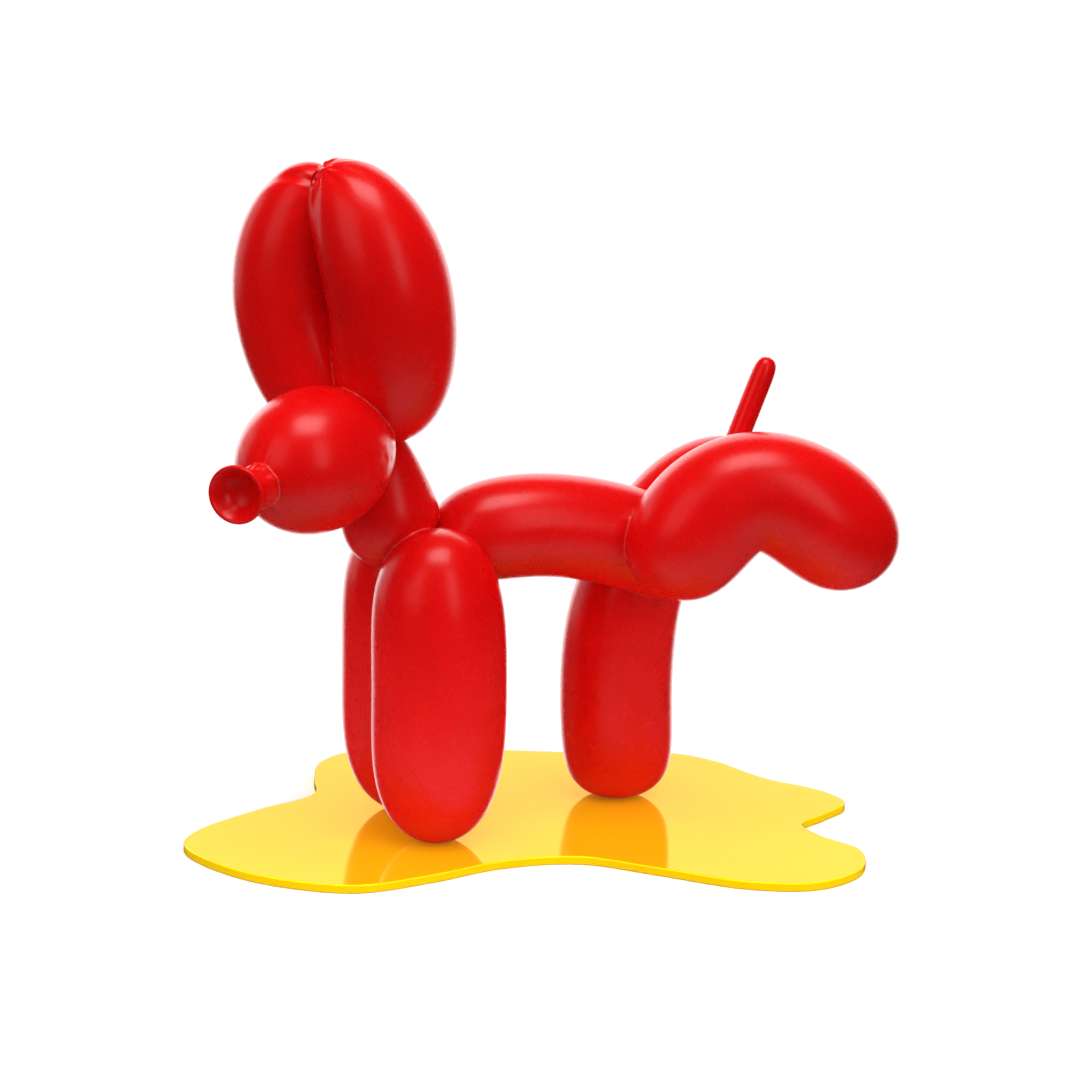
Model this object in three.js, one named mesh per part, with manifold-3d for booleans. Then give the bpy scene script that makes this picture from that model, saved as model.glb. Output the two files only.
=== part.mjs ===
// A twisted-balloon dog with one hind leg raised, cast as one piece, on a flat base shaped like a puddle.
// Millimetres. +X runs to the tail, +Y to the side of the standing hind leg, +Z up.
// The origin is on the underside of the base, under the middle of the whole object.
import * as THREE from 'three';
import { mergeVertices } from 'three/addons/utils/BufferGeometryUtils.js';
import Module from 'manifold-3d';

// Driving dimensions
const FIGURE_HEIGHT = 231.3;
const MUZZLE_RADIUS = 24;
const EAR_RADIUS = 21;
const NECK_RADIUS = 17;
const FRONT_LEG_RADIUS = 23;
const BODY_RADIUS = 18;
const STANDING_LEG_RADIUS = 20.3;
const RAISED_LEG_RADIUS = 21.8;
const TAIL_RADIUS = 4.1;
const MOUTH_RADIUS = 9.7;
const MOUTH_DEPTH = 6.5;
const BASE_LENGTH = 241;
const BASE_THICKNESS = 3;
const BASE_EDGE_CHAMFER = 0.4;

// How the bubbles press on each other and on the base
const FRONT_LEGS_PRESS = 5;
const FOOT_FLAT_DEPTH = 0.4;

// The smoothness of the faceted solids
const SIDES = 22;
const RINGS = 17;
const BASE_STEPS_PER_POINT = 4;

// The figure is drawn at this height, above the top of its base, and the base at this length
const DRAWN_HEIGHT = 231.3;
const DRAWN_BASE_LENGTH = 241;
const FIGURE_SCALE = FIGURE_HEIGHT / DRAWN_HEIGHT;
const BASE_SCALE = BASE_LENGTH / DRAWN_BASE_LENGTH;

const FRONT_LEG_SIDE = FRONT_LEG_RADIUS - FRONT_LEGS_PRESS / 2;
const SIDEWAYS = new THREE.Vector3(0, 1, 0);

// Each bubble: the points of its bent axis, its radius, how blunt its two ends are, and where it is widest
const BUBBLES = [
  {
    name: 'near front leg',
    axis: [[-46, -FRONT_LEG_SIDE, -FOOT_FLAT_DEPTH], [-41.5, -FRONT_LEG_SIDE, 53], [-46, -18, 108]],
    radius: FRONT_LEG_RADIUS,
    blunt: [3.6, 4],
  },
  {
    name: 'far front leg',
    axis: [[-46.5, FRONT_LEG_SIDE, -FOOT_FLAT_DEPTH], [-44, FRONT_LEG_SIDE, 53], [-47, 18, 108]],
    radius: FRONT_LEG_RADIUS,
    blunt: [3.6, 4],
  },
  {
    name: 'standing hind leg',
    axis: [[34.5, 20.5, -FOOT_FLAT_DEPTH], [31, 20.5, 52], [24, 20.5, 98], [82, 14, 124]],
    radius: STANDING_LEG_RADIUS,
    blunt: [10, 4],
    fold: { depth: 0.09, at: 0.64 },
  },
  {
    name: 'raised hind leg',
    axis: [[33, -22.5, 83], [52, -28.5, 134], [77.5, -34.5, 126.3], [106, -40.5, 90]],
    radius: RAISED_LEG_RADIUS,
    blunt: [5, 4.6],
    fold: { depth: 0.05, at: 0.5 },
  },
  {
    name: 'body',
    axis: [[-41, 0, 97], [0, 0, 116], [57, 0, 87]],
    radius: BODY_RADIUS,
    blunt: [5.3, 6],
  },
  {
    name: 'neck',
    axis: [[-54, 0, 138], [-62, 0, 111], [-51, 0, 95]],
    radius: NECK_RADIUS,
    blunt: [1.7, 2.4],
    point: [0.75, 0.5],
    widest: 0.64,
  },
  {
    name: 'near ear',
    axis: [[-82, -2, 227], [-63, -21, 208], [-54.5, -21, 177], [-61.5, -4, 138]],
    radius: EAR_RADIUS,
    blunt: [2.2, 3.6],
  },
  {
    name: 'far ear',
    axis: [[-80, 0, 226], [-90.5, 20, 206], [-94, 20, 166], [-66, 4, 138]],
    radius: EAR_RADIUS * 0.97,
    blunt: [2.2, 4],
  },
  {
    name: 'muzzle',
    axis: [[-62, -4, 139.5], [-110, -42, 128.5]],
    radius: MUZZLE_RADIUS,
    blunt: [1.7, 2.2],
    point: [0.58, 0.5],
    widest: 0.52,
  },
  {
    name: 'tail',
    axis: [[60, 0, 111], [69, 0, 135], [79.5, 0, 161.5]],
    radius: TAIL_RADIUS,
    blunt: [12, 12],
  },
];

// The mouth's axis, from inside the muzzle to its rim
const MOUTH_AXIS = [[-104, -37, 128.2], [-112.5, -45.5, 129], [-120.1, -56.3, 128.1]];

// The puddle's outline, seen from above, against the clock's hands from its left end
const PUDDLE_POINTS = [
  [-129, -6], [-124, -26], [-108, -49], [-82, -64], [-56, -59], [-28, -49], [-2, -50], [20, -68], [44, -89],
  [66, -95], [86, -84], [94, -63], [87, -45], [86, -30], [98, -20], [111, -8], [109, 8], [94, 30], [84, 57],
  [72, 71], [45, 77], [14, 88], [-18, 98], [-46, 101], [-62, 88], [-69, 66], [-74, 45], [-98, 29], [-122, 9],
];

const wasm = await Module();
wasm.setup();

function curveThrough(points) {
  const corners = points.map(([x, y, z]) => new THREE.Vector3(x, y, z).multiplyScalar(FIGURE_SCALE));
  if (corners.length === 2) return new THREE.LineCurve3(...corners);
  if (corners.length === 3) return new THREE.QuadraticBezierCurve3(...corners);
  return new THREE.CubicBezierCurve3(...corners);
}

// The radius of a bubble at a share of its length: full where it is widest, nothing at its two twists
function bubbleRadius(bubble, share) {
  const { blunt, widest = 0.5, point = [0.5, 0.5], fold } = bubble;
  const end = share < widest ? 0 : 1;
  const offset = end === 0 ? (widest - share) / widest : (share - widest) / (1 - widest);
  const swell = Math.max(0, 1 - offset ** blunt[end]) ** point[end];
  const pinch = fold ? fold.depth * Math.exp(-(((share - fold.at) / 0.16) ** 2)) : 0;
  return bubble.radius * FIGURE_SCALE * swell * (1 - pinch);
}

// Turns a lathed shape, whose height runs from 0 to 1, into one that follows a curve
function bendAlong(lathe, curve) {
  const position = lathe.attributes.position;
  for (let i = 0; i < position.count; i += 1) {
    const share = THREE.MathUtils.clamp(position.getY(i), 0, 1);
    const along = curve.getTangentAt(share);
    const out = new THREE.Vector3().crossVectors(along, SIDEWAYS).normalize();
    const across = new THREE.Vector3().crossVectors(out, along);
    const vertex = curve.getPointAt(share);
    vertex.addScaledVector(out, position.getX(i));
    vertex.addScaledVector(across, position.getZ(i));
    position.setXYZ(i, vertex.x, vertex.y, vertex.z);
  }
  return lathe;
}

function bubbleGeometry(bubble) {
  const profile = [];
  for (let ring = 0; ring <= RINGS; ring += 1) {
    const share = (1 - Math.cos((Math.PI * ring) / RINGS)) / 2;
    const isTwist = ring === 0 || ring === RINGS;
    profile.push(new THREE.Vector2(isTwist ? 0 : bubbleRadius(bubble, share), share));
  }
  return bendAlong(new THREE.LatheGeometry(profile, SIDES), curveThrough(bubble.axis));
}

// The mouth of the balloon: a short tube with a gathered collar, flared to a rolled rim around a hollow
function mouthGeometry() {
  const curve = curveThrough(MOUTH_AXIS);
  const length = curve.getLength();
  const rim = MOUTH_RADIUS * FIGURE_SCALE;
  const depth = MOUTH_DEPTH * FIGURE_SCALE;
  const outside = [[0, 0], [0.62, 0.06], [0.66, 0.32], [0.73, 0.38], [0.66, 0.45], [0.55, 0.54], [0.61, 0.67],
    [0.82, 0.85], [0.96, 0.915], [1, 0.96], [0.94, 0.995], [0.85, 0.985]];
  const profile = outside.map(([radius, share]) => new THREE.Vector2(radius * rim, share));
  const floor = 1 - depth / length;
  profile.push(new THREE.Vector2(0.74 * rim, THREE.MathUtils.lerp(floor, 1, 0.7)));
  profile.push(new THREE.Vector2(0.5 * rim, THREE.MathUtils.lerp(floor, 1, 0.22)));
  profile.push(new THREE.Vector2(0, floor));
  return bendAlong(new THREE.LatheGeometry(profile, SIDES), curve);
}

function puddleShape() {
  const points = PUDDLE_POINTS.map(([x, y]) => new THREE.Vector3(x, y, 0).multiplyScalar(BASE_SCALE));
  const outline = new THREE.CatmullRomCurve3(points, true, 'centripetal');
  const steps = PUDDLE_POINTS.length * BASE_STEPS_PER_POINT;
  const ring = outline.getPoints(steps).slice(0, steps);
  return new THREE.Shape(ring.map(({ x, y }) => new THREE.Vector2(x, y)));
}

// The slab lies between the ground and the base's thickness, its edges slightly chamfered
function baseGeometry() {
  const chamfer = Math.min(BASE_EDGE_CHAMFER, BASE_THICKNESS / 3);
  const slab = new THREE.ExtrudeGeometry(puddleShape(), {
    depth: BASE_THICKNESS - 2 * chamfer,
    bevelThickness: chamfer,
    bevelSize: chamfer,
    bevelOffset: -chamfer,
    bevelSegments: 1,
  });
  return slab.translate(0, 0, chamfer);
}

function toSolid(geometry) {
  const bare = new THREE.BufferGeometry();
  bare.setAttribute('position', geometry.attributes.position);
  if (geometry.index) bare.setIndex(geometry.index);
  const merged = mergeVertices(bare, 1e-4);
  const corners = merged.index.array;
  const kept = [];
  for (let i = 0; i < corners.length; i += 3) {
    const [a, b, c] = corners.slice(i, i + 3);
    if (a !== b && b !== c && c !== a) kept.push(a, b, c);
  }
  return new wasm.Manifold(new wasm.Mesh({
    numProp: 3,
    vertProperties: new Float32Array(merged.attributes.position.array),
    triVerts: new Uint32Array(kept),
  }));
}

function toGeometry(solid) {
  const mesh = solid.getMesh();
  const geometry = new THREE.BufferGeometry();
  geometry.setAttribute('position', new THREE.BufferAttribute(new Float32Array(mesh.vertProperties), 3));
  geometry.setIndex(new THREE.BufferAttribute(new Uint32Array(mesh.triVerts), 1));
  return geometry;
}

// All bubbles joined into one casting, with a flat spot under each foot that stands
function dogGeometry() {
  let dog = toSolid(mouthGeometry());
  for (const bubble of BUBBLES) dog = dog.add(toSolid(bubbleGeometry(bubble)));
  const reach = 2 * FIGURE_HEIGHT;
  const below = new THREE.BoxGeometry(reach, reach, reach).translate(0, 0, -reach / 2);
  return toGeometry(dog.subtract(toSolid(below)));
}

const red = new THREE.MeshStandardMaterial({ color: 0xd2090b, roughness: 0.3, metalness: 0 });
const yellow = new THREE.MeshStandardMaterial({ color: 0xffc800, roughness: 0.06, metalness: 0 });

const dog = new THREE.Mesh(dogGeometry(), red);
dog.name = 'dog';
dog.position.z = BASE_THICKNESS;

const puddle = new THREE.Mesh(baseGeometry(), yellow);
puddle.name = 'puddle';

const figurine = new THREE.Group();
figurine.add(puddle, dog);
const middle = new THREE.Box3().setFromObject(figurine).getCenter(new THREE.Vector3());
figurine.position.set(-middle.x, -middle.y, 0);

export default figurine;
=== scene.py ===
"""A glossy red balloon dog, one hind leg raised, on a polished yellow base shaped like a puddle."""
import math

import bmesh
import bpy
import numpy as np
from mathutils import Matrix, Vector
from mathutils.kdtree import KDTree


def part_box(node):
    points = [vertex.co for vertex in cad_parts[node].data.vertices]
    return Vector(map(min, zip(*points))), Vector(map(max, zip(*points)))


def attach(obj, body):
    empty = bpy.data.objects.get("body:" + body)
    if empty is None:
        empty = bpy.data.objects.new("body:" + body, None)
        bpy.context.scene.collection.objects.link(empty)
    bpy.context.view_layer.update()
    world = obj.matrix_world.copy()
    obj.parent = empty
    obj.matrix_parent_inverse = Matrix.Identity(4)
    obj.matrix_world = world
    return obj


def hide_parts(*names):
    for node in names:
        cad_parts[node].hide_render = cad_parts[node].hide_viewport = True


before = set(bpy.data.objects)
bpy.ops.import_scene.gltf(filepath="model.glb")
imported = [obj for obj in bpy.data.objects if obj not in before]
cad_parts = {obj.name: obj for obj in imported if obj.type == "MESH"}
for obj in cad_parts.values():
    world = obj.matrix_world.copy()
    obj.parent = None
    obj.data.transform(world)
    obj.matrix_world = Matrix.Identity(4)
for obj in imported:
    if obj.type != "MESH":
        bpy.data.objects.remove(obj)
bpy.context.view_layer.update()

MM = 0.001

# The dog, drawn in millimetres above the top of its base: x to the tail, y to the far side
FRONT_LEG_RADIUS = 23.0
FRONT_LEG_SIDE = FRONT_LEG_RADIUS - 2.5
HIND_LEG_SIDE = 20.5
FOOT_FLAT_DEPTH = 0.4
EAR_RADIUS = 21.0
GROUND_SIZE = 400

# Where the skin is gathered: a place and the way it faces
EAR_TWIST = dict(place=(-83, -11.5, 227.5), facing=(-0.4, -0.5, 0.77))
NECK_TWIST = dict(place=(-62, -33, 139), facing=(0.8, -0.5, 0.3))
MOUTH_TWIST = dict(place=(-110, -42, 128.5), facing=(-0.77, -0.61, -0.18))

# Each bubble's bent axis and greatest radius. A higher blunt makes an end blunter, a higher point
# makes it sharper, widest is where the bubble is thickest, and fold is how far it narrows and where
BUBBLES = {
    "near front leg": dict(
        axis=[(-46, -FRONT_LEG_SIDE, -FOOT_FLAT_DEPTH), (-41.5, -FRONT_LEG_SIDE, 53),
              (-46, -18, 108)],
        radius=FRONT_LEG_RADIUS, blunt=(3.6, 4)),
    "far front leg": dict(
        axis=[(-46.5, FRONT_LEG_SIDE, -FOOT_FLAT_DEPTH), (-44, FRONT_LEG_SIDE, 53),
              (-47, 18, 108)],
        radius=FRONT_LEG_RADIUS, blunt=(3.6, 4)),
    "standing hind leg": dict(
        axis=[(34.5, HIND_LEG_SIDE, -FOOT_FLAT_DEPTH), (31, HIND_LEG_SIDE, 52),
              (24, HIND_LEG_SIDE, 98), (82, 14, 124)],
        radius=20.3, blunt=(10, 4), fold=(0.09, 0.64)),
    "raised hind leg": dict(
        axis=[(33, -22.5, 83), (52, -28.5, 134), (77.5, -34.5, 126.3), (106, -40.5, 90)],
        radius=21.8, blunt=(5, 4.6), fold=(0.05, 0.5)),
    "body": dict(
        axis=[(-41, 0, 97), (0, 0, 116), (57, 0, 87)],
        radius=18.0, blunt=(5.3, 6)),
    "neck": dict(
        axis=[(-54, 0, 138), (-62, 0, 111), (-51, 0, 95)],
        radius=17.0, blunt=(1.7, 2.4), point=(0.75, 0.5), widest=0.64),
    "near ear": dict(
        axis=[(-82, -2, 227), (-63, -21, 208), (-54.5, -21, 177), (-61.5, -4, 138)],
        radius=EAR_RADIUS, blunt=(2.2, 3.6),
        gathers=[dict(EAR_TWIST, folds=12, depth=2.6, reach=14, seed=3)]),
    "far ear": dict(
        axis=[(-80, 0, 226), (-90.5, 20, 206), (-94, 20, 166), (-66, 4, 138)],
        radius=EAR_RADIUS * 0.97, blunt=(2.2, 4),
        gathers=[dict(EAR_TWIST, folds=13, depth=2.6, reach=18, seed=8)]),
    "muzzle": dict(
        axis=[(-62, -4, 139.5), (-110, -42, 128.5)],
        radius=24.0, blunt=(1.7, 2.2), point=(0.58, 0.5), widest=0.52,
        gathers=[dict(NECK_TWIST, folds=17, depth=0.8, reach=10, seed=5),
                 dict(MOUTH_TWIST, folds=14, depth=1.1, reach=10.5, seed=6)]),
    "tail": dict(
        axis=[(60, 0, 111), (69, 0, 135), (79.5, 0, 161.5)],
        radius=4.1, blunt=(12, 12)),
}
FOLD_WIDTH = 0.16

# A gather's folds: how they wander, how sharp, deep and long their valleys are, the radius inside
# which they are shallower, and the most that the skin sinks, as a share of the bubble's radius
PHASES = 6
WANDER_WAVES = (2, 3, 5)
WANDER_MOST = 0.16
VALLEY_SHARPNESS = 1.4
DEPTH_MIDDLE, DEPTH_SWING = 0.65, 0.35
REACH_MIDDLE, REACH_SWING = 0.75, 0.35
SHALLOW_RADIUS = 2
MOST_SUNK = 0.5

# The mouth's profile, in shares of its radius and length: the outside with its rolled rim, whose
# crest is the mark MOUTH_CREST, and the hollow, with its second share counted from its floor
MOUTH_AXIS = [(-104, -37, 128.2), (-112.5, -45.5, 129), (-120.1, -56.3, 128.1)]
MOUTH_RADIUS = 9.7
MOUTH_DEPTH = 6.5
MOUTH_OUTSIDE = [
    (0, 0), (0.66, 0.03), (0.68, 0.2), (0.7, 0.3), (0.76, 0.345), (0.77, 0.38), (0.7, 0.43),
    (0.63, 0.48), (0.6, 0.54), (0.61, 0.6), (0.64, 0.67), (0.7, 0.75), (0.79, 0.82),
    (0.9, 0.875), (0.965, 0.905), (0.995, 0.935), (1.0, 0.96), (0.985, 0.982), (0.95, 0.996),
    (0.91, 0.998), (0.87, 0.985), (0.84, 0.96),
]
MOUTH_HOLLOW = [(0.8, 0.8), (0.72, 0.62), (0.6, 0.36), (0.44, 0.14), (0.22, 0.03), (0, 0)]
MOUTH_CREST = 18
MOUTH_RINGS = 96
MOUTH_SIDES = 80

# The profile's smoothing, and how many rings at each end it leaves alone
MOUTH_SMOOTHING = np.array([1, 2, 3, 2, 1], float) / 9
MOUTH_KEPT = 3

# The collar's folds, with how many waves they wander in and how far
COLLAR = dict(folds=11, depth=0.65, sharpness=1.6, middle=0.42, width=0.17, seed=11)
COLLAR_WANDER = ((2, 0.2), (5, 0.12))

PUDDLE_POINTS = [
    (-129, -6), (-124, -26), (-108, -49), (-82, -64), (-56, -59), (-28, -49), (-2, -50),
    (20, -68), (44, -89), (66, -95), (86, -84), (94, -63), (87, -45), (86, -30), (98, -20),
    (111, -8), (109, 8), (94, 30), (84, 57), (72, 71), (45, 77), (14, 88), (-18, 98),
    (-46, 101), (-62, 88), (-69, 66), (-74, 45), (-98, 29), (-122, 9),
]
PUDDLE_STEPS = 14

# The base's edges: their radii, the flat band beside each, and the steps of a rounding
TOP_ROUND = 0.45
LOW_ROUND = 0.6
EDGE_BAND = 0.3
EDGE_STEPS = 6

# The fineness of the skin
AXIS_SAMPLES = 400
AXIS_NUDGE = 1e-4
SKIN_STEP = 1.25
RINGS_PER_STEP = 1.25
LEAST_SIDES = 24
LEAST_RINGS = 20

# The shading where bubbles meet: a vertex is in a crease where the mean of its corners' normals is
# shorter than CREASE_TURN, and a normal is astray where it agrees with its face by less than
# ASTRAY_TURN
SKIN_NORMAL = "skin_normal"
# The name of the mark that lightens the paint along the creases: a painted highlight
PAINTED_CREASE_HIGHLIGHT = "painted_crease_highlight"
CREASE_TURN = 0.985
CREASE_WIDTH = 1.3 * MM
ASTRAY_TURN = 0.3
TINY = 1e-6

# The camera looks a little down on the figure from its raised-leg side, ahead of its middle
VIEW_TURN = -16.3
VIEW_DOWN = 10.7
VIEW_ROLL = 1.0
VIEW_DISTANCE = 1.0
VIEW_AIM = Vector((0, 11.1, 97)) * MM
LENS = 95.0
SENSOR = 36

# In metres: the floor fades out between two distances, and the haze on the feet between two heights
FLOOR_HALF_SIDE = 3
FLOOR_DROP = 0.0001
FLOOR_FADE = (0.17, 0.28)
FOOT_HAZE = (0.004, 0.016)

# The sky's brightness for the camera and for all other rays, and the panels that the gloss mirrors,
# with their directions in degrees to the camera's right and degrees up
SKY_GLOW = 1.1
SKY_GLOSS = 0.03
LIGHT_AIM = Vector((0, 0, 0.1))
PANELS = {
    "top panel": dict(turn=4, rise=74, distance=1.0, size=(0.55, 0.45), glow=4.5),
    "left front panel": dict(turn=-44, rise=27, distance=1.1, size=(0.6, 0.8), glow=0.6),
    "right front panel": dict(turn=30, rise=27, distance=1.1, size=(0.3, 0.8), glow=1.2),
    "left back panel": dict(turn=-132, rise=12, distance=1.4, size=(1.3, 0.8), glow=0.7),
}

# A Mix node's sockets go by number, because its numbers and its colours share their names
MIX_SHARE = 0
MIX_NUMBERS, NUMBER_OUT = (2, 3), 0
MIX_COLOURS, COLOUR_OUT = (6, 7), 2


def bezier(points, shares):
    """Places on a Bezier curve with two to four points."""
    level = [np.repeat(np.array([p], float), len(shares), axis=0) for p in points]
    t = shares[:, None]
    while len(level) > 1:
        level = [a * (1 - t) + b * t for a, b in zip(level, level[1:])]
    return level[0]


def axis_runs(points):
    """Even steps of a bent axis' own parameter, and the length run up to each."""
    dense = np.linspace(0, 1, AXIS_SAMPLES + 1)
    strides = np.linalg.norm(np.diff(bezier(points, dense), axis=0), axis=1)
    return dense, np.concatenate([[0], np.cumsum(strides)])


def axis_length(points):
    return axis_runs(points)[1][-1]


def axis_frames(points, shares):
    """Centres and cross directions of a bent axis, at shares of its length."""
    dense, runs = axis_runs(points)
    t = np.interp(shares * runs[-1], runs, dense)
    ahead = bezier(points, np.clip(t + AXIS_NUDGE, 0, 1))
    behind = bezier(points, np.clip(t - AXIS_NUDGE, 0, 1))
    along = ahead - behind
    along /= np.linalg.norm(along, axis=1)[:, None]
    out = np.cross(along, (0.0, 1.0, 0.0))
    out /= np.linalg.norm(out, axis=1)[:, None]
    return bezier(points, t), out, np.cross(out, along)


def spokes_around(out, across, sides):
    """The angles of an axis' sides, and the ways from each of its centres to them."""
    angle = np.linspace(0, 2 * np.pi, sides, endpoint=False)
    return angle, (out[:, None] * np.cos(angle)[None, :, None]
                   + across[:, None] * np.sin(angle)[None, :, None])


def swell(bubble, shares):
    """The radius of a bubble at shares of its length."""
    widest = bubble.get("widest", 0.5)
    point = bubble.get("point", (0.5, 0.5))
    first = shares < widest
    offset = np.where(first, (widest - shares) / widest, (shares - widest) / (1 - widest))
    blunt = np.where(first, bubble["blunt"][0], bubble["blunt"][1])
    power = np.where(first, point[0], point[1])
    radius = bubble["radius"] * np.clip(1 - offset ** blunt, 0, 1) ** power
    depth, place = bubble.get("fold", (0, 0.5))
    return radius * (1 - depth * np.exp(-((shares - place) / FOLD_WIDTH) ** 2))


def gather_depth(gather, places):
    """How far the skin sinks, at its places, into the folds that run out from a twist."""
    chance = np.random.default_rng(gather["seed"])
    facing = Vector(gather["facing"]).normalized()
    first = facing.orthogonal().normalized()
    second = facing.cross(first)
    away = places - np.array(gather["place"], float)
    distance = np.linalg.norm(away, axis=-1)
    angle = np.arctan2(away @ np.array(second), away @ np.array(first))

    def wave(count, phases=PHASES):
        return np.sin(count * angle + chance.uniform(0, phases))

    wander = angle.copy()
    for count in WANDER_WAVES:
        wander = wander + chance.uniform(-WANDER_MOST, WANDER_MOST) * wave(count, 2 * math.pi)
    valley = (0.5 + 0.5 * np.cos(gather["folds"] * wander)) ** VALLEY_SHARPNESS
    uneven = DEPTH_MIDDLE + DEPTH_SWING * wave(3) * wave(4)
    reach = gather["reach"] * (REACH_MIDDLE + REACH_SWING * wave(5))
    fade = np.exp(-(distance / reach) ** 2) * np.clip(distance / SHALLOW_RADIUS, 0, 1)
    return gather["depth"] * uneven * valley * fade


def grid_mesh(name, rings):
    """A closed skin from rings of points, with a single point at each end."""
    count, sides = rings.shape[:2]
    verts = [rings[0].mean(axis=0), *rings[1:-1].reshape(-1, 3), rings[-1].mean(axis=0)]
    last = len(verts) - 1
    base = last - sides
    faces = []
    for side in range(sides):
        after = (side + 1) % sides
        faces.append((0, 1 + after, 1 + side))
        faces.append((last, base + side, base + after))
    for low in range(1, base, sides):
        high = low + sides
        for side in range(sides):
            after = (side + 1) % sides
            faces.append((low + side, low + after, high + after, high + side))
    mesh = bpy.data.meshes.new(name)
    mesh.from_pydata([tuple(v) for v in verts], [], faces)
    mesh.validate()
    check = bmesh.new()
    check.from_mesh(mesh)
    bmesh.ops.recalc_face_normals(check, faces=check.faces)
    if check.calc_volume(signed=True) < 0:
        bmesh.ops.reverse_faces(check, faces=check.faces)
    check.to_mesh(mesh)
    check.free()
    keep_normals(mesh)
    return mesh


def read_numbers(items, key):
    """One whole number of each item of a mesh."""
    values = np.empty(len(items), np.int32)
    items.foreach_get(key, values)
    return values


def read_vectors(items, key):
    """One vector of each item of a mesh."""
    values = np.empty(3 * len(items), np.float32)
    items.foreach_get(key, values)
    return values.reshape(-1, 3)


def keep_normals(mesh):
    """Notes a solid's smooth normals at its corners, so that they outlast the joining."""
    normals = read_vectors(mesh.vertex_normals, "vector")
    corners = read_numbers(mesh.loops, "vertex_index")
    noted = mesh.attributes.new(SKIN_NORMAL, "FLOAT_VECTOR", "CORNER")
    noted.data.foreach_set("vector", normals[corners].ravel())


def fill_creases(mesh, normals):
    """Eases the corner normals near the lines where solids meet, and notes how near those are, as
    the mask of a painted highlight that lightens the paint along them.
    """
    corners = read_numbers(mesh.loops, "vertex_index")
    places = read_vectors(mesh.vertices, "co")
    means = np.zeros_like(places)
    np.add.at(means, corners, normals)
    means /= np.maximum(np.bincount(corners, minlength=len(places)), 1)[:, None]
    lengths = np.maximum(np.linalg.norm(means, axis=1), TINY)
    creased = np.flatnonzero(lengths < CREASE_TURN)
    means /= lengths[:, None]
    tree = KDTree(len(creased))
    for vertex in creased:
        tree.insert(places[vertex], int(vertex))
    tree.balance()
    eased = means.copy()
    share = np.zeros(len(places))
    for vertex, place in enumerate(places):
        _, nearest, distance = tree.find(place)
        if distance < CREASE_WIDTH:
            eased[vertex] = means[nearest]
            share[vertex] = (1 - distance / CREASE_WIDTH) ** 2
    # Notes the share that lightens the paint here, as a painted highlight along the crease
    painted_highlight = mesh.attributes.new(PAINTED_CREASE_HIGHLIGHT, "FLOAT", "POINT")
    painted_highlight.data.foreach_set("value", share)
    mixed = normals + (eased[corners] - normals) * share[corners][:, None]
    return mixed / np.linalg.norm(mixed, axis=1)[:, None]


def use_normals(mesh):
    """Shades a joined skin by the normals of the solids it is made from."""
    noted = mesh.attributes[SKIN_NORMAL]
    normals = read_vectors(noted.data, "vector")
    normals /= np.maximum(np.linalg.norm(normals, axis=1), TINY)[:, None]
    faces = read_vectors(mesh.polygons, "normal")
    facing = np.repeat(faces, read_numbers(mesh.polygons, "loop_total"), axis=0)
    astray = np.einsum("ij,ij->i", normals, facing) < ASTRAY_TURN
    normals[astray] = facing[astray]
    mesh.normals_split_custom_set(fill_creases(mesh, normals))
    mesh.attributes.remove(noted)


def bubble_object(name, bubble):
    """One bubble as a closed solid, with its rings closer together towards its ends."""
    sides = max(LEAST_SIDES, int(2 * math.pi * bubble["radius"] / SKIN_STEP))
    count = max(LEAST_RINGS, int(RINGS_PER_STEP * axis_length(bubble["axis"]) / SKIN_STEP))
    even = np.linspace(0, 1, count + 1)
    shares = 0.5 * ((1 - np.cos(np.pi * even)) / 2) + 0.5 * even
    centre, out, across = axis_frames(bubble["axis"], shares)
    spokes = spokes_around(out, across, sides)[1]
    radius = np.repeat(swell(bubble, shares)[:, None], sides, axis=1)
    rings = centre[:, None] + radius[:, :, None] * spokes
    sunk = sum(gather_depth(gather, rings) for gather in bubble.get("gathers", []))
    rings = rings - np.minimum(sunk, radius * MOST_SUNK)[:, :, None] * spokes
    return bpy.data.objects.new(name, grid_mesh(name, rings))


def mouth_object():
    """The balloon's mouth: a gathered collar and a tube flared to a rolled rim around a hollow."""
    length = axis_length(MOUTH_AXIS)
    floor = 1 - MOUTH_DEPTH / length
    hollow = [(wide, floor + high * (1 - floor)) for wide, high in MOUTH_HOLLOW]
    marks = np.array(MOUTH_OUTSIDE + hollow, float)
    strides = np.hypot(np.diff(marks[:, 0]) * MOUTH_RADIUS, np.diff(marks[:, 1]) * length)
    ends = np.concatenate([[0], np.cumsum(strides)])
    steps = np.linspace(0, ends[-1], MOUTH_RINGS)
    radius = np.interp(steps, ends, marks[:, 0]) * MOUTH_RADIUS
    shares = np.interp(steps, ends, marks[:, 1])
    inner = slice(MOUTH_KEPT, -MOUTH_KEPT)
    for values in (radius, shares):
        values[inner] = np.convolve(values, MOUTH_SMOOTHING, "same")[inner]
    centre, out, across = axis_frames(MOUTH_AXIS, shares)
    angle, spokes = spokes_around(out, across, MOUTH_SIDES)
    chance = np.random.default_rng(COLLAR["seed"])
    wander = angle.copy()
    for count, swing in COLLAR_WANDER:
        wander = wander + swing * np.sin(count * angle + chance.uniform(0, PHASES))
    valley = (1 - np.abs(np.sin(COLLAR["folds"] * wander / 2))) ** COLLAR["sharpness"]
    band = np.exp(-((shares - COLLAR["middle"]) / COLLAR["width"]) ** 2)
    band = band * (steps < ends[MOUTH_CREST])
    radius = radius[:, None] - COLLAR["depth"] * band[:, None] * valley[None]
    rings = centre[:, None] + radius[:, :, None] * spokes
    return bpy.data.objects.new("mouth", grid_mesh("mouth", rings))


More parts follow.
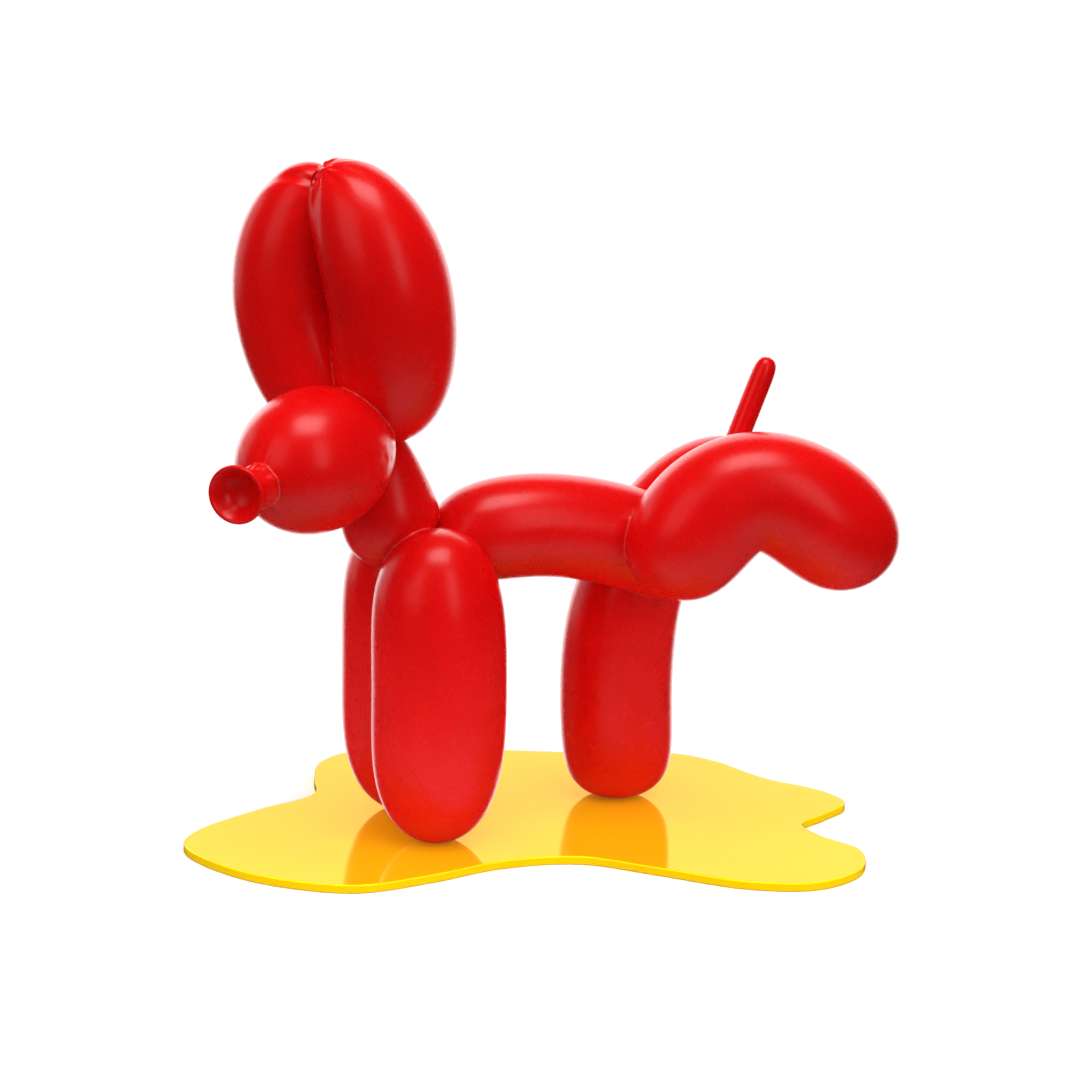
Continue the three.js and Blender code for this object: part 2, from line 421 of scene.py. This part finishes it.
def join_solids(name, parts, cut):
    """One closed skin around all parts, flat where the cutter takes the feet off."""
    scene = bpy.context.scene
    for part in parts + [cut]:
        scene.collection.objects.link(part)
    whole = parts[0]
    for part in parts[1:] + [cut]:
        step = whole.modifiers.new("join", "BOOLEAN")
        step.object = part
        step.operation = "DIFFERENCE" if part is cut else "UNION"
        step.solver = "MANIFOLD"
    bpy.context.view_layer.update()
    joined = whole.evaluated_get(bpy.context.evaluated_depsgraph_get())
    mesh = bpy.data.meshes.new_from_object(joined)
    for part in parts + [cut]:
        bpy.data.objects.remove(part)
    mesh.name = name
    piece = bpy.data.objects.new(name, mesh)
    scene.collection.objects.link(piece)
    return piece


def ground_block():
    """A block whose top is the top of the base."""
    solid = bmesh.new()
    bmesh.ops.create_cube(solid, size=GROUND_SIZE)
    bmesh.ops.translate(solid, verts=solid.verts, vec=(0, 0, -GROUND_SIZE / 2))
    mesh = bpy.data.meshes.new("ground block")
    solid.to_mesh(mesh)
    solid.free()
    keep_normals(mesh)
    return bpy.data.objects.new("ground block", mesh)


def catmull_rom(points, steps):
    """A smooth closed outline through the points, spaced as evenly as they are."""
    points = np.array(points, float)
    count = len(points)
    ring = []
    for i in range(count):
        p = [points[(i + k) % count] for k in (-1, 0, 1, 2)]
        d = [math.sqrt(np.linalg.norm(b - a)) for a, b in zip(p, p[1:])]
        t1 = (p[1] - p[0]) / d[0] - (p[2] - p[0]) / (d[0] + d[1]) + (p[2] - p[1]) / d[1]
        t2 = (p[2] - p[1]) / d[1] - (p[3] - p[1]) / (d[1] + d[2]) + (p[3] - p[2]) / d[2]
        t1, t2 = t1 * d[1], t2 * d[1]
        for step in range(steps):
            t = step / steps
            ring.append(p[1] + t1 * t + (3 * (p[2] - p[1]) - 2 * t1 - t2) * t ** 2
                        + (2 * (p[1] - p[2]) + t1 + t2) * t ** 3)
    return np.array(ring)


def puddle_object(thickness):
    """The base plate: a smooth outline with rounded edges, a little rounder below than above."""
    ring = catmull_rom(PUDDLE_POINTS, PUDDLE_STEPS)
    ahead = np.roll(ring, -1, axis=0) - np.roll(ring, 1, axis=0)
    inward = np.stack([-ahead[:, 1], ahead[:, 0]], axis=1)
    inward /= np.linalg.norm(inward, axis=1)[:, None]
    turns = [math.pi / 2 * step / EDGE_STEPS for step in range(EDGE_STEPS + 1)]
    profile = [(LOW_ROUND + EDGE_BAND, 0)]
    for a in turns:
        profile.append((LOW_ROUND * (1 - math.sin(a)), LOW_ROUND * (1 - math.cos(a))))
    for a in turns:
        profile.append((TOP_ROUND * (1 - math.cos(a)), thickness - TOP_ROUND * (1 - math.sin(a))))
    profile.append((TOP_ROUND + EDGE_BAND, thickness))
    count = len(ring)
    verts = [(*(place + side * inset), height)
             for inset, height in profile for place, side in zip(ring, inward)]
    top = (len(profile) - 1) * count
    faces = []
    for low in range(0, top, count):
        high = low + count
        for i in range(count):
            j = (i + 1) % count
            faces.append((low + i, low + j, high + j, high + i))
    faces.append(tuple(reversed(range(count))))
    faces.append(tuple(range(top, top + count)))
    mesh = bpy.data.meshes.new("puddle_plate")
    mesh.from_pydata(verts, [], faces)
    piece = bpy.data.objects.new("puddle_plate", mesh)
    bpy.context.scene.collection.objects.link(piece)
    return piece


def settle(piece, offset):
    """Turns a piece from millimetres in the figure's own place into metres in the frame."""
    piece.data.transform(Matrix.Translation(Vector(offset)) @ Matrix.Scale(MM, 4))
    for polygon in piece.data.polygons:
        polygon.use_smooth = True


class Surface:
    """A material with one Principled shader, and the few kinds of node that shape its look."""

    def __init__(self, name):
        self.material = bpy.data.materials.new(name)
        self.material.use_nodes = True
        self.nodes = self.material.node_tree.nodes
        self.links = self.material.node_tree.links
        self.shader = self.nodes["Principled BSDF"]
        self.place = self.nodes.new("ShaderNodeTexCoord").outputs["Object"]

    def put(self, socket, value):
        """Links a socket to another node's output, or sets it to a plain value."""
        if isinstance(value, bpy.types.NodeSocket):
            self.links.new(value, socket)
        else:
            socket.default_value = value

    def look(self, values):
        """Gives the shader's sockets their values."""
        for name, value in values.items():
            self.put(self.shader.inputs[name], value)

    def noise(self, scale, detail, roughness=0.5):
        texture = self.nodes.new("ShaderNodeTexNoise")
        self.put(texture.inputs["Scale"], scale)
        self.put(texture.inputs["Detail"], detail)
        self.put(texture.inputs["Roughness"], roughness)
        self.put(texture.inputs["Vector"], self.place)
        return texture.outputs["Fac"]

    def ranged(self, source, low, high, from_low=0.3, from_high=0.7):
        """A source's range, which is that of most of a noise, brought to another one."""
        spread = self.nodes.new("ShaderNodeMapRange")
        self.put(spread.inputs["From Min"], from_low)
        self.put(spread.inputs["From Max"], from_high)
        self.put(spread.inputs["To Min"], low)
        self.put(spread.inputs["To Max"], high)
        self.put(spread.inputs["Value"], source)
        return spread.outputs["Result"]

    def between(self, share, first, second):
        """A colour between two."""
        blend = self.nodes.new("ShaderNodeMix")
        blend.data_type = "RGBA"
        self.put(blend.inputs[MIX_SHARE], share)
        for socket, colour in zip(MIX_COLOURS, (first, second)):
            self.put(blend.inputs[socket], colour)
        return blend.outputs[COLOUR_OUT]

    def bump(self, height, strength, distance, normal=None):
        relief = self.nodes.new("ShaderNodeBump")
        self.put(relief.inputs["Strength"], strength)
        self.put(relief.inputs["Distance"], distance)
        self.put(relief.inputs["Height"], height)
        if normal is not None:
            self.put(relief.inputs["Normal"], normal)
        return relief.outputs["Normal"]


def red_paint():
    """Sprayed red paint: satin, with faint waves and grain, and a painted highlight along the lines
    where bubbles meet, a lighter red that stands in for light caught there.
    """
    paint = Surface("red paint")
    wide = paint.noise(scale=38, detail=2)
    fine = paint.noise(scale=900, detail=3)
    cloud = paint.noise(scale=120, detail=2)
    plain = paint.between(paint.ranged(wide, 0, 1),
                          (0.68, 0.0015, 0.002, 1), (0.76, 0.003, 0.003, 1))
    # A painted highlight: the paint turns a lighter red along the lines where bubbles meet
    crease = paint.nodes.new("ShaderNodeAttribute")
    crease.attribute_name = PAINTED_CREASE_HIGHLIGHT
    painted_highlight = paint.ranged(crease.outputs["Fac"], 0, 0.45, from_low=0.45, from_high=1)
    axes = paint.nodes.new("ShaderNodeSeparateXYZ")
    paint.put(axes.inputs[0], paint.place)
    rough = paint.nodes.new("ShaderNodeMath")
    paint.put(rough.inputs[0], paint.ranged(axes.outputs["Z"], 0.4, 0, *FOOT_HAZE))
    paint.put(rough.inputs[1], paint.ranged(cloud, 0.265, 0.285))
    waves = paint.bump(wide, strength=0.2, distance=0.0008)
    paint.look({
        "Base Color": paint.between(painted_highlight, plain, (1.0, 0.2, 0.18, 1)),
        "Roughness": rough.outputs[0],
        "Normal": paint.bump(fine, strength=0.03, distance=0.00005, normal=waves),
        "Specular IOR Level": 0.45,
    })
    return paint.material


def yellow_acrylic():
    """Polished yellow sheet that mirrors in its own colour, with faint haze from handling and a
    faint painted glow.
    """
    sheet = Surface("yellow acrylic")
    wide = sheet.noise(scale=16, detail=2)
    haze = sheet.noise(scale=70, detail=5, roughness=0.6)
    sheet.look({
        "Base Color": sheet.between(sheet.ranged(wide, 0, 1),
                                    (1.0, 0.59, 0.0, 1), (1.0, 0.63, 0.001, 1)),
        "Roughness": sheet.ranged(haze, 0.015, 0.05),
        "Normal": sheet.bump(wide, strength=0.05, distance=0.0006),
        "Metallic": 0.47,
        "Specular Tint": (1.0, 0.66, 0.0, 1),
        # A faint painted glow: the sheet gives off a little yellow light of its own
        "Emission Color": (1.0, 0.85, 0.04, 1),
        "Emission Strength": 0.08,
    })
    return sheet.material


def floor_material():
    """Pale paper that fades into the white studio, so that no horizon shows."""
    paper = Surface("pale floor")
    grain = paper.noise(scale=60, detail=3)
    paper.look({
        "Base Color": paper.between(grain, (0.88, 0.88, 0.88, 1), (0.9, 0.9, 0.9, 1)),
        "Roughness": 0.9,
    })
    far = paper.nodes.new("ShaderNodeVectorMath")
    far.operation = "LENGTH"
    paper.put(far.inputs[0], paper.place)
    clear = paper.nodes.new("ShaderNodeBsdfTransparent")
    both = paper.nodes.new("ShaderNodeMixShader")
    paper.put(both.inputs[0], paper.ranged(far.outputs["Value"], 0, 1, *FLOOR_FADE))
    paper.put(both.inputs[1], paper.shader.outputs[0])
    paper.put(both.inputs[2], clear.outputs[0])
    paper.put(paper.nodes["Material Output"].inputs["Surface"], both.outputs[0])
    return paper.material


def make_floor():
    """The pale floor, which the gloss doesn't mirror."""
    flat = bmesh.new()
    bmesh.ops.create_grid(flat, x_segments=8, y_segments=8, size=FLOOR_HALF_SIDE)
    mesh = bpy.data.meshes.new("floor")
    flat.to_mesh(mesh)
    flat.free()
    floor = bpy.data.objects.new("floor", mesh)
    floor.location = (0, 0, -FLOOR_DROP)
    floor.visible_glossy = False
    bpy.context.scene.collection.objects.link(floor)
    mesh.materials.append(floor_material())


def direction(turn, rise):
    """The way from the figure to a place, in degrees to the camera's right and degrees up."""
    turn, rise = math.radians(VIEW_TURN) + math.radians(turn), math.radians(rise)
    return Vector((math.sin(turn) * math.cos(rise), -math.cos(turn) * math.cos(rise),
                   math.sin(rise)))


def area_light(name, turn, rise, distance, size, glow):
    """A soft panel round the figure, of a size in metres and a brightness."""
    way = direction(turn, rise)
    lamp = bpy.data.lights.new(name, "AREA")
    lamp.shape = "RECTANGLE"
    lamp.size, lamp.size_y = size
    lamp.energy = glow * math.pi * size[0] * size[1]
    holder = bpy.data.objects.new(name, lamp)
    holder.location = way * distance + LIGHT_AIM
    holder.rotation_euler = way.to_track_quat("Z", "Y").to_euler()
    holder.visible_camera = False
    bpy.context.scene.collection.objects.link(holder)


def soft_sun(name, turn, rise, spread, light, mirrored_by=None):
    """Even light from all round one direction: only as light, or only as what one piece mirrors."""
    way = direction(turn, rise)
    lamp = bpy.data.lights.new(name, "SUN")
    lamp.angle = math.radians(spread)
    lamp.energy = light
    holder = bpy.data.objects.new(name, lamp)
    holder.rotation_euler = way.to_track_quat("Z", "Y").to_euler()
    holder.visible_camera = False
    bpy.context.scene.collection.objects.link(holder)
    if mirrored_by is None:
        lamp.cycles.use_multiple_importance_sampling = False
        holder.visible_glossy = False
    else:
        holder.visible_diffuse = False
        receivers = bpy.data.collections.new(name + " receivers")
        receivers.objects.link(mirrored_by)
        holder.light_linking.receiver_collection = receivers


def studio(dog, plate):
    """White for the camera, dim for the gloss, which mirrors panels above, in front and beside."""
    world = bpy.data.worlds.new("white studio")
    world.use_nodes = True
    nodes, links = world.node_tree.nodes, world.node_tree.links
    sky = nodes["Background"]
    sky.inputs["Color"].default_value = (1, 1, 1, 1)
    ray = nodes.new("ShaderNodeLightPath")
    level = nodes.new("ShaderNodeMix")
    for socket, strength in zip(MIX_NUMBERS, (SKY_GLOSS, SKY_GLOW)):
        level.inputs[socket].default_value = strength
    links.new(ray.outputs["Is Camera Ray"], level.inputs[MIX_SHARE])
    links.new(level.outputs[NUMBER_OUT], sky.inputs["Strength"])
    world.cycles.sampling_method = "NONE"
    bpy.context.scene.world = world
    for name, panel in PANELS.items():
        area_light(name, **panel)
    soft_sun("walls and ceiling", turn=0, rise=90, spread=170, light=3.1)
    soft_sun("front wall", turn=22, rise=8, spread=100, light=3.9)
    soft_sun("wall behind", turn=180, rise=6, spread=78, light=2.5, mirrored_by=dog)
    soft_sun("white in the base", turn=0, rise=90, spread=172, light=3.4, mirrored_by=plate)
    bpy.context.scene.view_settings.view_transform = "Standard"


def make_camera(offset):
    """A camera at the photograph's angle, rolled a little."""
    turn, roll = math.radians(VIEW_TURN), math.radians(VIEW_ROLL)
    back = direction(0, VIEW_DOWN)
    right = Vector((math.cos(turn), math.sin(turn), 0))
    up = back.cross(right)
    rolled_right = right * math.cos(roll) + up * math.sin(roll)
    rolled_up = up * math.cos(roll) - right * math.sin(roll)
    data = bpy.data.cameras.new("camera")
    data.lens = LENS
    data.sensor_width = SENSOR
    camera = bpy.data.objects.new("camera", data)
    facing = Matrix((rolled_right, rolled_up, back)).transposed().to_4x4()
    camera.matrix_world = Matrix.Translation(VIEW_AIM + offset + back * VIEW_DISTANCE) @ facing
    bpy.context.scene.collection.objects.link(camera)
    bpy.context.scene.camera = camera


def box_middle(low, high):
    return (Vector(low) + Vector(high)) / 2


def drawn_box(mesh):
    """The lowest and highest corners of a mesh drawn in millimetres, in metres."""
    places = [vertex.co * MM for vertex in mesh.vertices]
    return [Vector([pick(place[i] for place in places) for i in range(3)]) for pick in (min, max)]


puddle_low, puddle_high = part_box("puddle")
thickness = puddle_high[2] - puddle_low[2]

solids = [bubble_object(name, bubble) for name, bubble in BUBBLES.items()]
dog = join_solids("dog_skin", solids + [mouth_object()], ground_block())
offset = box_middle(*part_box("dog")) - box_middle(*drawn_box(dog.data))
offset.z = thickness
settle(dog, offset)
use_normals(dog.data)
dog.data.materials.clear()
dog.data.materials.append(red_paint())

plate = puddle_object(thickness / MM)
settle(plate, (offset.x, offset.y, 0))
plate.data.materials.append(yellow_acrylic())
plate.visible_glossy = False

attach(dog, "root")
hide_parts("dog")
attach(plate, "root")
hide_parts("puddle")

make_floor()
studio(dog, plate)
make_camera(offset)
